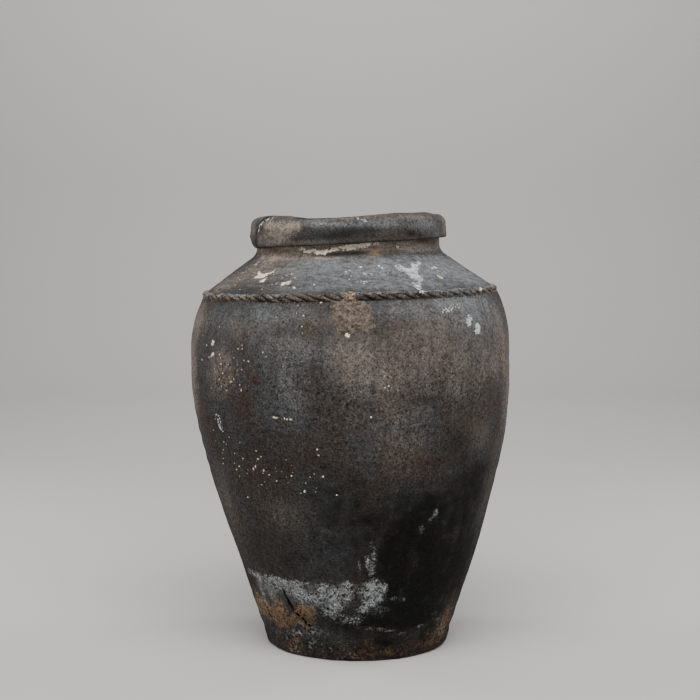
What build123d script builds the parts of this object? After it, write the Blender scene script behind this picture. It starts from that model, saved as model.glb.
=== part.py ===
from build123d import *

# Greek pithos: a coil-built clay storage jar, as the pieces that the potter made and luted together.
# Millimetres, +Z up. The origin is the centre of the base on the floor, and the front faces -Y.

import os
from math import atan2, cos, pi, sin, sqrt

# Main sizes and walls of the jar
jar_height = 900.0
base_radius = 191.0
wall_foot_radius = 187.0     # where the line of the wall, carried down, meets the floor
belly_radius = 335.5
edge_drop = 29.5             # the shoulder edge lies this far inside the belly
mouth_radius = 165.0
wall = 28.0
neck_wall = 27.0

# Building stages; two equal rings fill the wall between the foot ring and the belly ring
slab_thickness = 34.0
foot_ring_height = 126.0
belly_ring_height = 165.0
upper_ring_height = 90.0
shoulder_rise = 80.0
neck_height = 47.0

# Shape of the wall line
belly_band_start = 93.0      # above the foot of the belly ring
belly_band_height = 49.0     # upright stretch of the belly
flare_drop = 173.0           # the foot's straight flare would meet the belly's line this far under the band
foot_round = 10.0
neck_fillet = 26.0

# Luted seams: each ring laps over the outside of the one below it
scarf_rise = 12.0

# Rim strap, bent round the neck, taller on the left, and lapped where its ends meet
rim_cap = 28.0               # thickness over the top of the neck
rim_left_height = 62.0
rim_right_height = 48.0
rim_overhang = 13.0
rim_lip = 2.5                # the lower edge stands out this much further
rim_top_round = 14.0
mouth_round = 8.0
lap_azimuth = 202.0          # degrees about +Z from +X
lap_gap = 5.0
lap_depth = 22.0

# Twisted rope moulding over the shoulder seam
rope_radius = 9.5
rope_core = 1.5              # clay left under the grooves
groove_depth = 5.0
groove_width = 7.0
lobe_pitch = 25.0
lay_angle = 50.0             # degrees that the grooves lean over to the left

# Dried clay patch under the rope, on the front
patch_width = 90.0
patch_height = 65.0
patch_thickness = 4.0
patch_shift = 3.0            # to the right of the front line
patch_gap = 0.5              # below the rope

# Heights of the seams
slab_top = slab_thickness
foot_seam = slab_top + foot_ring_height
neck_top = jar_height - rim_cap
neck_seam = neck_top - neck_height
shoulder_edge = neck_seam - shoulder_rise
belly_seam = shoulder_edge - upper_ring_height
middle_seam = belly_seam - belly_ring_height
lower_seam = (foot_seam + middle_seam) / 2

# Heights and the arc of the wall line
band_low = middle_seam + belly_band_start
band_high = band_low + belly_band_height
flare_height = band_low - flare_drop
turn_rise = shoulder_edge - band_high
turn_radius = (turn_rise ** 2 + edge_drop ** 2) / (2 * edge_drop)
turn_angle = atan2(turn_rise, turn_radius - edge_drop)

# The shoulder cone, from the edge up to the neck
neck_radius = mouth_radius + neck_wall
edge_point = Vector(belly_radius - edge_drop, shoulder_edge)
cone_run = (Vector(neck_radius, neck_seam) - edge_point).normalized()
cone_normal = Vector(cone_run.Y, -cone_run.X)
turn_normal = Vector(cos(turn_angle), sin(turn_angle))
edge_normal = (turn_normal + cone_normal).normalized()
reach = 2 * belly_radius     # past every wall

NODES = {}


def turn_point(share, grow):
    """A point on the arc from the belly to the shoulder edge, moved outwards by grow."""
    angle = share * turn_angle
    radius = turn_radius + grow
    return (belly_radius - turn_radius + radius * cos(angle), band_high + radius * sin(angle))


def wall_line(grow):
    """The wall from the floor to the shoulder edge, moved outwards by grow."""
    foot = (wall_foot_radius + grow, 0)
    low = (belly_radius + grow, band_low)
    high = (belly_radius + grow, band_high)
    flare = Bezier(foot, (belly_radius + grow, flare_height), low)
    turn = ThreePointArc(turn_point(0, grow), turn_point(0.5, grow), turn_point(1, grow))
    return [flare, Line(low, high), turn]


def wall_radius(height):
    """Outside radius of the wall at a height below the shoulder edge."""
    if height > band_high:
        return belly_radius - turn_radius + sqrt(turn_radius ** 2 - (height - band_high) ** 2)
    if height > band_low:
        return belly_radius
    bend = band_low - 2 * flare_height
    share = height / (flare_height + sqrt(flare_height ** 2 + bend * height))
    return belly_radius - (1 - share) ** 2 * (belly_radius - wall_foot_radius)


def closed(edges, *corners):
    """A face from a run of edges, closed through the corners."""
    chain = [edges[-1] @ 1, *corners, edges[0] @ 0]
    lines = [Line(a, b) for a, b in zip(chain, chain[1:])]
    return make_face([*edges, *lines])


def outside_section():
    """Half section of the jar without its rim, filled to the axis."""
    edges = wall_line(0)
    neck_foot = (neck_radius, neck_seam)
    shoulder = FilletPolyline(edge_point, neck_foot, (neck_radius, neck_top), radius=neck_fillet)
    return closed([*edges, *shoulder.edges()], (0, neck_top), (0, 0))


def inside_section():
    """Half section of the room inside the wall, from the floor to the mouth."""
    edges = wall_line(-wall)
    body = closed(edges, ((edges[-1] @ 1).X, jar_height), (0, jar_height), (0, 0))
    start = edge_point - cone_normal * wall
    outer = start - cone_run * ((reach - start.X) / -cone_run.X)
    throat = start + cone_run * ((start.X - mouth_radius) / -cone_run.X)
    under_cone = make_face(Polyline(outer, throat, (mouth_radius, jar_height), (0, jar_height),
                                    (0, outer.Y), close=True))
    below = make_face(Polyline((0, 0), (reach, 0), outer, (0, outer.Y), close=True))
    return body & (under_cone + below)


def seam_line(height, rise=0.0):
    """Points of a seam from the axis outwards: level outside the wall, and sloping by rise across it."""
    outer = wall_radius(height) if rise else reach / 2
    return [(0, height + rise), (outer - wall, height + rise), (outer, height), (reach, height)]


def between(low, high):
    """The strip of the half section between two seams."""
    return make_face(Polyline(*low, *reversed(high), close=True))


def turned(section):
    """A half section turned about the jar's axis."""
    return revolve(Plane.XZ * section, axis=Axis.Z)


def make_slab():
    """The round slab that the jar was built up on, with its worn foot."""
    slab = make_face(Polyline((0, 0), (base_radius, 0), (wall_radius(slab_top), slab_top), (0, slab_top),
                              close=True))
    foot = slab.vertices().group_by(Axis.Y)[0].sort_by(Axis.X)[-1]
    NODES["base_slab"] = turned(fillet(foot, foot_round))


def make_wall(outside, inside):
    """The rings of the wall, each cut from the one section at its seams."""
    seams = [
        seam_line(slab_top), seam_line(foot_seam, scarf_rise), seam_line(lower_seam, scarf_rise),
        seam_line(middle_seam, scarf_rise), seam_line(belly_seam, scarf_rise),
        seam_line(shoulder_edge), seam_line(neck_seam), seam_line(neck_top),
    ]
    names = ["foot_ring", "lower_wall_ring", "middle_wall_ring", "belly_ring", "upper_belly_ring",
             "shoulder_ring", "neck_ring"]
    for name, low, high in zip(names, seams, seams[1:]):
        NODES[name] = turned((outside - inside) & between(low, high))


def make_rim(outside):
    """The strap that caps the neck, with its slanting lower edge and the open lap between its two ends."""
    rim_radius = neck_radius + rim_overhang
    lip_radius = rim_radius + rim_lip
    rim_bottom = jar_height - max(rim_left_height, rim_right_height)
    strap = make_face(Polyline((mouth_radius, rim_bottom), (lip_radius, rim_bottom), (rim_radius, jar_height),
                               (mouth_radius, jar_height), close=True))
    outer = strap.vertices().group_by(Axis.Y)[-1].sort_by(Axis.X)[-1]
    strap = fillet(outer, rim_top_round)
    inner = strap.vertices().group_by(Axis.Y)[-1].sort_by(Axis.X)[0]
    rim = turned(fillet(inner, mouth_round) - outside)
    below_edge = make_face(Polyline((-lip_radius, jar_height - rim_left_height),
                                    (lip_radius, jar_height - rim_right_height),
                                    (lip_radius, 0), (-lip_radius, 0), close=True))
    open_end = lip_radius + lap_gap
    tip = rim_radius - lap_depth
    wedge = make_face(Polyline((tip, 0), (open_end, -lap_gap / 2), (open_end, lap_gap / 2), close=True))
    lap = Rot(Z=lap_azimuth) * extrude(wedge, jar_height + rim_cap)
    NODES["rim_band"] = rim - extrude(Plane.XZ * below_edge, reach, both=True) - lap


def make_rope(outside):
    """The rope moulding: a clay cord bedded on the shoulder edge, its twist pressed in from the front."""
    centre = edge_point + edge_normal * (rope_core + groove_depth - rope_radius)
    crest = centre + turn_normal * rope_radius
    cord = Pos(centre.X, centre.Y) * Circle(rope_radius) - outside
    notch = make_face(Polyline((0, -groove_depth), (groove_width, groove_depth),
                               (-groove_width, groove_depth), close=True))
    station = Plane((0, -crest.X, crest.Y), x_dir=(1, 0, 0), z_dir=(0, -turn_normal.X, turn_normal.Y))
    groove = station * Rot(Z=lay_angle) * extrude(Plane.XZ * notch, 2 * rope_radius, both=True)
    lobes = round(2 * pi * crest.X / lobe_pitch)
    NODES["rope_moulding"] = turned(cord) - [Rot(Z=360 * k / lobes) * groove for k in range(lobes)]
    return cord.bounding_box().min.Y


def make_patch(outside, rope_foot):
    """The splash of dried clay on the front, lying on the wall just under the rope."""
    strip = closed(wall_line(patch_thickness), (0, shoulder_edge), (0, 0)) - outside
    middle = rope_foot - patch_gap - patch_height / 2
    rough_edge = [(-0.14, 0.50), (-0.49, 0.47), (-0.37, 0.36), (-0.50, 0.27), (-0.42, 0.18), (-0.49, 0.07),
                  (-0.31, -0.12), (-0.29, -0.32), (-0.22, -0.50), (-0.05, -0.37), (0.33, -0.39),
                  (0.50, -0.23), (0.41, -0.07), (0.40, 0.28), (0.23, 0.47)]
    outline = Polyline(*[(patch_shift + x * patch_width, middle + z * patch_height) for x, z in rough_edge],
                       close=True)
    NODES["clay_patch"] = turned(strip) & extrude(Plane.XZ * make_face(outline), reach)


def main():
    outside = outside_section()
    make_slab()
    make_wall(outside, inside_section())
    make_rim(outside)
    rope_foot = make_rope(outside)
    make_patch(outside, rope_foot)
    os.makedirs("parts", exist_ok=True)
    for name, solid in NODES.items():
        export_step(solid, f"parts/{name}.step")


main()
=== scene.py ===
from itertools import product
from math import atan2, ceil, cos, hypot, pi, radians, sin

import bpy
import numpy as np
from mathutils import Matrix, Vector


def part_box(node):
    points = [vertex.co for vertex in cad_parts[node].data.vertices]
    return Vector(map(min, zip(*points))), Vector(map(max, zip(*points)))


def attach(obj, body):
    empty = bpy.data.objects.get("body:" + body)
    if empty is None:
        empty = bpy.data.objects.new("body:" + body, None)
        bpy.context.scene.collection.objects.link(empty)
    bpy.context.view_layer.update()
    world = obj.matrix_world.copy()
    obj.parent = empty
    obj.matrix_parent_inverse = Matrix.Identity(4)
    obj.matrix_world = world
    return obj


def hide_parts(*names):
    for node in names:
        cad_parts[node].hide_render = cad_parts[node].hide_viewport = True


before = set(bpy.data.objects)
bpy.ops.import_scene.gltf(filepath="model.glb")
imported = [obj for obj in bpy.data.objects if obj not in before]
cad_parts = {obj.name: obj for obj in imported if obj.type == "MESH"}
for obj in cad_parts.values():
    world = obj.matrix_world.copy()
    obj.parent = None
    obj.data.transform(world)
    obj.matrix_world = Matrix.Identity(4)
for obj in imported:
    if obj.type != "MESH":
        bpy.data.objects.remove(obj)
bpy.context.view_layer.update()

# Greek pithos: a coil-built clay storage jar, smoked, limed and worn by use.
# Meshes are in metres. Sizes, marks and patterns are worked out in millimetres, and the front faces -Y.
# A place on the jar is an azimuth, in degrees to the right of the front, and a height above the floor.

bl_info = {
    "name": "Greek pithos",
    "version": (1, 0, 0),
    "blender": (4, 5, 0),
    "location": "3D View > Sidebar > Pithos",
    "description": "Models a smoked and limed storage jar around its packed solids",
    "category": "Mesh",
}

MM = 0.001
TURN_STEPS = 768      # columns round the jar, under 3 mm apart on the belly
ROW = 2.75                                   # between rows on the outer face
INNER_ROW = 9.0                              # between rows on the inner face
WELD = 0.00003                               # doubles nearer than this are merged, in metres


def linear(code):
    """A hex sRGB colour as linear red, green and blue."""
    parts = [int(code[i:i + 2], 16) / 255 for i in (1, 3, 5)]
    return [p / 12.92 if p <= 0.04045 else ((p + 0.055) / 1.055) ** 2.4 for p in parts]


def length(name, description, millimetres):
    """A size in the panel, stated in millimetres."""
    return bpy.props.FloatProperty(name=name, description=description, default=millimetres * MM,
                                   unit="LENGTH", precision=4)


def colour(name, description, code):
    """A colour in the panel, stated as a hex sRGB value."""
    return bpy.props.FloatVectorProperty(name=name, description=description, default=linear(code), size=3,
                                         min=0, max=1, subtype="COLOR")


class PithosShape(bpy.types.PropertyGroup):
    """Sizes of the jar that the boxes of its solids don't give."""
    wall: length("Wall", "Thickness of the body's wall", 28)
    foot_radius: length("Foot line", "Where the line of the wall, carried down, meets the floor", 187)
    base_radius: length("Base radius", "Underside of the slab, before its edge is rounded", 191)
    foot_round: length("Foot round", "Worn edge of the slab", 10)
    flare_height: length("Flare height", "Where the foot's flare would meet the belly's line", 410)
    band_low: length("Belly foot", "Height where the belly turns upright", 583)
    band_high: length("Belly head", "Height where the belly starts to close in", 632)
    neck_radius: length("Neck radius", "Outside of the neck", 192)
    mouth_radius: length("Mouth radius", "Clear way through neck and rim", 165)
    neck_fillet: length("Neck fillet", "Hollow turn from the shoulder to the neck", 26)
    scarf: length("Scarf", "Rise of a luted seam through the wall", 12)
    rim_left: length("Rim left", "Height of the strap on the left", 62)
    rim_right: length("Rim right", "Height of the strap on the right", 48)
    rim_overhang: length("Rim overhang", "How far the strap stands out from the neck", 13)
    rim_lip: length("Rim lip", "How much further its lower edge stands out", 2.5)
    rim_round: length("Rim round", "Rounding of the strap's outer top edge", 19)
    mouth_round: length("Mouth round", "Rounding of the strap's inner top edge", 8)
    rope_radius: length("Rope radius", "Half the thickness of the rope moulding", 9.5)
    rope_bed: length("Rope bed", "How far the rope's centre lies inside the shoulder edge", 3)
    groove_depth: length("Groove depth", "Depth of the presses between two lobes", 4.6)
    lobe_pitch: length("Lobe pitch", "Length of rope for each lobe", 26)
    lay_angle: bpy.props.FloatProperty(name="Lay angle", description="Lean of the lobes", default=radians(50),
                                       subtype="ANGLE")
    patch_width: length("Patch width", "Dried mortar on the front, across", 90)
    patch_height: length("Patch height", "Dried mortar on the front, upwards", 65)
    patch_thickness: length("Patch thickness", "Dried mortar, at its thickest", 4.5)


class PithosHand(bpy.types.PropertyGroup):
    """How far the potter's hands, the firing and wear left the jar from the true turned form."""
    swell: length("Swell", "Slow bulges of the wall", 2.2)
    swell_size: length("Swell size", "Width of a slow bulge", 210)
    dent: length("Dent", "Palm-sized unevenness", 1.1)
    dent_size: length("Dent size", "Width of a palm", 80)
    finger: length("Finger marks", "Unevenness from finger smoothing", 0.4)
    finger_size: length("Finger size", "Width of a smoothing stroke", 26)
    oval: length("Oval", "How far the plan is drawn out to one side", 2)
    ridge: length("Coil ridge", "Height of the rounded coils that still show", 0.5)
    ridge_spacing: length("Coil spacing", "Height of a coil after thinning", 38)
    grain: length("Grain", "Relief of the gritty skin", 0.22)
    crust: length("Crust", "Thickness of the lime crust", 0.9)


class PithosColours(bpy.types.PropertyGroup):
    """Colours of the clay, of what stains it and of the stage."""
    clay_grey: colour("Grey clay", "Body fired in smoke", "#3f3f40")
    clay_brown: colour("Brown clay", "Body fired in air", "#403a36")
    dust: colour("Dust", "Tan dust rubbed into the skin", "#776e66")
    # The daub's lightness is partly painted light, raised to lift the rim's shadow off the neck
    daub: colour("Daub", "Pale beige clay daubed over the joint of rim and neck", "#9a8d80")
    wash: colour("Lime wash", "Thin blue-grey bloom of lime", "#77797b")
    soot: colour("Soot", "Hearth soot", "#0d0d0d")
    lime: colour("Lime crust", "Thick crust of lime and salts", "#848688")
    # The cream's brightness is partly painted light, raised to lift the rim's shadow off the lime squeezed
    # out under the rim
    cream: colour("Cream lime", "Fresh lime in sheltered places", "#f5e6d2")
    paint: colour("White paint", "Dabs and splashes of white paint", "#c6c9ca")
    ochre: colour("Ochre", "Bare iron-rich clay", "#8a7258")
    rust: colour("Rust brown", "Dirt in cracks and burnt edges", "#3b2b24")
    mortar: colour("Mortar", "Dried sandy mortar", "#7d7165")
    sand: colour("Sand", "Darker grit in the mortar", "#534a42")
    floor: colour("Floor", "Pale floor and backdrop", "#d8d5d1")


def smooth(low, high, value):
    """0 below low, 1 above high, and an easy turn between them."""
    part = np.clip((value - low) / (high - low), 0, 1)
    return part * part * (3 - 2 * part)


def turned_back(degrees):
    """Angles brought to between -180 and 180."""
    return (degrees + 180) % 360 - 180


def cloud(points, size, seed):
    """Smooth random values from -1 to 1, the same on every run, that change over size millimetres."""
    grid = points / size + seed * 17.31
    cell = np.floor(grid).astype(np.int64)
    part = grid - cell
    part = part * part * (3 - 2 * part)
    value = np.zeros(len(points))
    for corner in product((0, 1), repeat=3):
        # Large primes scatter the numbers of a cell evenly over 32 bits
        key = (cell + corner) @ np.array([73856093, 19349663, 83492791]) + seed * 668265263
        key = (key ^ (key >> 15)) * 2246822519 & 0xFFFFFFFF
        key = (key ^ (key >> 13)) * 3266489917 & 0xFFFFFFFF
        share = np.prod(np.where(corner, part, 1 - part), axis=1)
        value += share * ((key >> 8 & 0xFFFF) / 32767.5 - 1)
    return value


# A turn that keeps the edges of clouds from lying along the axes
DRIFT_TURN = np.array([(0.6, 0.64, -0.48), (-0.8, 0.48, -0.36), (0, 0.6, 0.8)])


def drift(points, size, seed):
    """Ragged clouds in three sizes, from about -1 to 1."""
    turned = points @ DRIFT_TURN
    parts = [cloud(turned, size * share, seed + k) * share ** 0.8 for k, share in enumerate((1, 0.45, 0.2))]
    return sum(parts) / 1.4


def height_of(node):
    """Foot and top of a solid in millimetres."""
    low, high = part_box(node)
    return low.z / MM, high.z / MM


class Wall:
    """The jar's half section in millimetres: its radii by height, and the length along its outer face."""

    def __init__(self, shape):
        self.shape = {key: getattr(shape, key) / MM for key in shape.__annotations__ if key != "lay_angle"}
        self.lay_angle = shape.lay_angle
        self.slab_top = height_of("base_slab")[1]
        self.edge = height_of("shoulder_ring")[0]
        self.neck_seam, self.neck_top = height_of("neck_ring")
        self.top = height_of("rim_band")[1]
        self.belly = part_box("belly_ring")[1].x / MM
        self.edge_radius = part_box("shoulder_ring")[1].x / MM
        rise = self.edge - self.shape["band_high"]
        drop = self.belly - self.edge_radius
        self.turn_radius = (rise ** 2 + drop ** 2) / (2 * drop)
        run = (self.shape["neck_radius"] - self.edge_radius, self.neck_seam - self.edge)
        self.slope = -run[0] / run[1]
        self.cone_normal = (run[1] / hypot(*run), -run[0] / hypot(*run))
        self.heights = np.linspace(0, self.neck_top, 6000)
        self.radii = self.outline(self.heights)
        steps = np.hypot(np.diff(self.radii), np.diff(self.heights))
        self.lengths = np.concatenate([[0], np.cumsum(steps)])
        self.rise_part = np.gradient(self.heights, self.lengths)
        self.run_part = np.gradient(self.radii, self.lengths)

    def outline(self, z):
        """Outer radius from the foot's flare over belly, shoulder and fillet to the neck."""
        s = self.shape
        bend = s["band_low"] - 2 * s["flare_height"]
        low = np.minimum(z, s["band_low"])
        share = low / (s["flare_height"] + np.sqrt(s["flare_height"] ** 2 + bend * low))
        flare = self.belly - (1 - share) ** 2 * (self.belly - s["foot_radius"])
        turn = self.arc(z, 0)
        cone = self.edge_radius - (z - self.edge) * self.slope
        centre_r = s["neck_radius"] + s["neck_fillet"]
        centre_z = self.edge + (s["neck_fillet"] - (centre_r - self.edge_radius) * self.cone_normal[0]) \
            / self.cone_normal[1]
        foot_z = centre_z - s["neck_fillet"] * self.cone_normal[1]
        reach = np.clip(s["neck_fillet"] ** 2 - (z - centre_z) ** 2, 0, None)
        fillet = centre_r - np.sqrt(reach)
        bands = [z <= s["band_low"], z <= s["band_high"], z <= self.edge, z <= foot_z, z <= centre_z]
        return np.select(bands, [flare, self.belly, turn, cone, fillet], s["neck_radius"])

    def arc(self, z, depth):
        """Radius of the turn from the belly to the shoulder edge, this deep inside the outer face."""
        reach = (self.turn_radius - depth) ** 2 - np.clip(z - self.shape["band_high"], 0, None) ** 2
        return self.belly - self.turn_radius + np.sqrt(np.clip(reach, 0, None))

    def radius(self, z):
        return np.interp(z, self.heights, self.radii)

    def along(self, z):
        return np.interp(z, self.heights, self.lengths)

    def normal(self, z):
        """Outward direction of the outer face, as its parts along the radius and upwards."""
        return np.interp(z, self.heights, self.rise_part), -np.interp(z, self.heights, self.run_part)

    def inner(self, z):
        """Inner radius from the slab to the mouth."""
        wall = self.shape["wall"]
        body = np.where(z > self.shape["band_high"], self.arc(z, wall), self.radius(z) - wall)
        start = (self.edge_radius - wall * self.cone_normal[0], self.edge - wall * self.cone_normal[1])
        cone = start[0] - (z - start[1]) * self.slope
        return np.maximum(np.minimum(body, cone), self.shape["mouth_radius"])

    def face(self, low, high, row=ROW, edge=1.0):
        """Points up the outer face, evenly spaced, with one close to each end so that seams stay crisp."""
        first, last = self.along(low), self.along(high)
        inside = np.linspace(first + edge, last - edge, ceil((last - first) / row) + 1)
        z = np.interp([first, *inside, last], self.lengths, self.heights)
        return list(zip(self.radius(z), z))

    def inside(self, high, low, row=INNER_ROW):
        """Points down the inner face."""
        z = np.linspace(high, low, max(2, ceil((high - low) / row) + 1))
        return list(zip(self.inner(z), z))


def along_line(start, end, count):
    """Points of a straight run, without its start."""
    return [(start[0] + (end[0] - start[0]) * k / count, start[1] + (end[1] - start[1]) * k / count)
            for k in range(1, count + 1)]


def along_arc(centre, radius, first, last, count):
    """Points of an arc between two angles in radians, with both its ends."""
    angles = [first + (last - first) * k / count for k in range(count + 1)]
    return [(centre[0] + radius * cos(angle), centre[1] + radius * sin(angle)) for angle in angles]


def lathe(name, section, steps=TURN_STEPS):
    """Draws a half section point to point, turns it round the jar's axis and closes it."""
    bpy.ops.object.select_all(action="DESELECT")
    place = (section[0][0] * MM, 0, section[0][1] * MM)
    bpy.ops.mesh.primitive_plane_add(size=MM, enter_editmode=True, location=place)
    bpy.ops.mesh.merge(type="CENTER")
    for (r0, z0), (r1, z1) in zip(section, section[1:]):
        step = ((r1 - r0) * MM, 0, (z1 - z0) * MM)
        bpy.ops.mesh.extrude_region_move(TRANSFORM_OT_translate={"value": step})
    bpy.ops.mesh.select_all(action="SELECT")
    bpy.ops.mesh.remove_doubles(threshold=WELD)
    bpy.ops.object.mode_set(mode="OBJECT")
    bpy.ops.object.transform_apply(location=True, rotation=True, scale=True)
    bpy.ops.object.modifier_add(type="SCREW")
    piece = bpy.context.object
    screw = piece.modifiers["Screw"]
    screw.steps = screw.render_steps = steps
    screw.use_merge_vertices = True
    screw.merge_threshold = WELD
    bpy.ops.object.modifier_apply(modifier="Screw")
    bpy.ops.object.mode_set(mode="EDIT")
    bpy.ops.mesh.select_all(action="SELECT")
    bpy.ops.mesh.remove_doubles(threshold=WELD)
    bpy.ops.mesh.normals_make_consistent(inside=False)
    bpy.ops.object.mode_set(mode="OBJECT")
    piece.name = name
    piece.data.name = name
    return piece


def points_of(piece):
    """A mesh's points in millimetres."""
    points = np.empty(len(piece.data.vertices) * 3, np.float32)
    piece.data.vertices.foreach_get("co", points)
    return points.reshape(-1, 3).astype(float) / MM


def set_points(piece, points):
    piece.data.vertices.foreach_set("co", (points * MM).astype(np.float32).ravel())
    piece.data.update()


def set_covers(piece, stains):
    """Keeps how strongly each stain covers each point, for the material to read."""
    for name, cover in stains.items():
        layer = piece.data.attributes.new(name, "FLOAT", "POINT")
        layer.data.foreach_set("value", np.clip(cover, 0, 2).astype(np.float32))


def places_of(points):
    """Azimuth, radius and height of points."""
    x, y, z = points.T
    return np.degrees(np.arctan2(x, -y)), np.hypot(x, y), z


def points_at(azimuth, radius, z):
    """Points at places given by azimuth, radius and height."""
    around = np.radians(azimuth)
    return np.column_stack([radius * np.sin(around), -radius * np.cos(around), z])


# Lean of the jar to the right of its axis, and its tilt in degrees with the right side higher, by height
LEAN = [(0, 9), (200, 8), (300, 3), (400, 0), (500, -4), (560, -5.5), (720, -5.5), (745, -6.5), (765, -10),
        (800, -11), (900, -11)]
TILT = [(0, 0), (350, 0), (600, 0.8), (745, 1.5), (830, 1.35), (900, 1.25)]
# Swellings of the wall: azimuth, height, half width in degrees, half height, and how far they stand out
SWELLINGS = [(85, 440, 48, 150, 5)]
LEAN_EASE = 22               # corners of these lists are rounded over this much height
OVAL_AZIMUTH = 35            # the plan is drawn out to this side
SEAM_WAVER = 1.6             # how far level lines wander up and down


def by_height(table, z):
    """A value read from a list of heights and values, with its corners eased."""
    heights, values = zip(*table)
    shifts = (-LEAN_EASE, -LEAN_EASE / 2, 0, LEAN_EASE / 2, LEAN_EASE)
    return sum(np.interp(z + shift, heights, values) for shift in shifts) / len(shifts)


def hand_built(points, wall, hand):
    """Moves points of the true turned form to where hands, drying and firing left them."""
    azimuth, radius, z = places_of(points)
    face = wall.radius(z)
    skin = points_at(azimuth, face, z)
    size = {key: getattr(hand, key) / MM for key in hand.__annotations__}
    push = size["swell"] * cloud(skin, size["swell_size"], 1)
    push += size["dent"] * cloud(skin, size["dent_size"], 2)
    push += size["finger"] * cloud(skin, size["finger_size"], 3)
    push += size["oval"] * np.cos(2 * np.radians(azimuth - OVAL_AZIMUTH))
    coil = np.sin(2 * pi * z / size["ridge_spacing"] + 2 * cloud(skin, 130, 4))
    push += size["ridge"] * coil * smooth(-0.2, 0.6, cloud(skin, 170, 5)) * (1 - smooth(700, 760, z))
    for side, middle, wide, tall, rise in SWELLINGS:
        push += rise * np.exp(-(turned_back(azimuth - side) / wide) ** 2 - ((z - middle) / tall) ** 2)
    push *= np.clip(radius / (0.6 * face), 0, 1)
    lift = SEAM_WAVER * cloud(skin, 150, 6) * smooth(60, 260, z)
    lift += np.tan(np.radians(by_height(TILT, z))) * points[:, 0]
    grown = (radius + push) / np.maximum(radius, 1e-6)
    moved = points * np.column_stack([grown, grown, np.ones(len(z))])
    moved[:, 0] += by_height(LEAN, z)
    moved[:, 2] += lift
    return moved


class Strap:
    """The face of a band round the jar laid flat: one girth, and heights as they are."""

    def __init__(self, girth):
        self.girth = girth

    def radius(self, z):
        return np.full(np.shape(z), self.girth)

    def along(self, z):
        return np.asarray(z, float)


def oval_marks(face, azimuth, z, marks):
    """Soft cover, from 0 to 1, of oval stains.

    A mark is azimuth, height, half width, half height and strength.
    """
    cover = np.zeros(len(z))
    girth, along = face.radius(z), face.along(z)
    for mark_azimuth, mark_z, wide, tall, strength in marks:
        across = np.radians(turned_back(azimuth - mark_azimuth)) * girth / wide
        up = (along - face.along(mark_z)) / tall
        cover = 1 - (1 - cover) * (1 - strength * np.exp(-across ** 2 - up ** 2))
    return cover


def sharp_marks(face, azimuth, z, lines, feather=9.0):
    """Cover of strokes: a half on their edge, rising inwards and falling outwards over the feather.

    A line is a list of places, each with its half width; a dab is a short line.
    """
    cover = np.zeros(len(z))
    girth, along = face.radius(z), face.along(z)
    for line in lines:
        middle = line[0][0]
        here = np.column_stack([np.radians(turned_back(azimuth - middle)) * girth, along])
        for (a0, z0, w0), (a1, z1, w1) in zip(line, line[1:]):
            start = np.array([radians(a0 - middle) * face.radius(z0), face.along(z0)])
            run = np.array([radians(a1 - middle) * face.radius(z1), face.along(z1)]) - start
            share = np.clip((here - start) @ run / (run @ run), 0, 1)
            gap = np.linalg.norm(here - start - share[:, None] * run, axis=1)
            cover = np.maximum(cover, 0.5 + (w0 + (w1 - w0) * share - gap) / feather)
    return np.clip(cover, 0, 2)


# Soft stains on the wall: azimuth, height, half width, half height, strength
WASH = [(-27, 716, 130, 30, 0.42), (17, 716, 80, 26, 0.42), (50, 700, 110, 55, 0.6),
        (-22, 590, 50, 85, 0.33), (-24, 505, 60, 45, 0.12), (2, 500, 40, 50, 0.16), (38, 550, 80, 25, 0.2),
        (-60, 700, 70, 40, 0.25), (29, 296, 16, 30, 0.25), (42, 790, 120, 40, 1.0), (0, 780, 90, 40, 0.35),
        (-58, 132, 16, 34, 0.45), (-42, 152, 60, 18, 0.55), (-15, 145, 50, 30, 0.6), (8, 155, 20, 34, 0.6),
        (0, 95, 70, 30, 0.2), (-58.5, 140, 8, 26, 0.9), (-57, 112, 7, 18, 0.8), (-30, 138, 22, 24, 0.7),
        (-50, 140, 26, 18, 0.6), (-38, 766, 45, 14, 0.35), (-30, 645, 60, 30, 0.28),
        (-14, 645, 50, 28, 0.22), (-8, 310, 50, 50, 0.16), (-26, 440, 60, 40, 0.1), (38, 728, 90, 14, 0.45),
        (30, 834, 60, 12, 0.35), (55, 832, 50, 14, 0.35)]
DUST = [(-1, 632, 60, 45, 0.5), (6, 585, 60, 60, 0.38), (22, 645, 110, 50, 0.34), (32, 600, 110, 65, 0.34),
        (55, 610, 90, 60, 0.45), (-40, 688, 80, 28, 0.4), (-19, 655, 50, 25, 0.4), (17, 470, 75, 80, 0.35),
        (-78, 580, 45, 90, 1.0), (-28, 310, 80, 50, 0.45), (-66, 300, 60, 110, 0.45),
        (52, 470, 50, 60, 0.35), (78, 560, 60, 130, 0.8), (-8, 700, 60, 20, 0.3), (68, 330, 40, 120, 0.4),
        (-52, 790, 90, 40, 0.7), (70, 795, 60, 40, 0.5), (30, 690, 90, 40, 0.35), (-45, 820, 60, 16, 0.8),
        (-24, 816, 50, 10, 0.5), (0, 820, 80, 10, 0.25), (-50, 600, 60, 60, 0.55), (64, 70, 40, 50, 0.5),
        (-75, 690, 60, 45, 0.8), (-72, 765, 60, 25, 0.7), (-53, 146, 7, 18, 0.9), (-50, 128, 7, 15, 0.8),
        (-45, 116, 22, 16, 0.6), (62, 690, 40, 40, 0.35), (66, 640, 45, 55, 0.45)]
# Beige daub on the neck, laid on strongly so that it is also painted light, lifting the rim's shadow off the
# neck
DAUB_AND_LIGHT = [(-30, 838, 60, 14, 0.9), (-55, 826, 60, 18, 0.8), (8, 840, 60, 9, 0.9), (45, 840, 70, 9, 0.7),
        (-45, 806, 70, 20, 0.25), (-15, 818, 50, 8, 0.4)]
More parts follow.
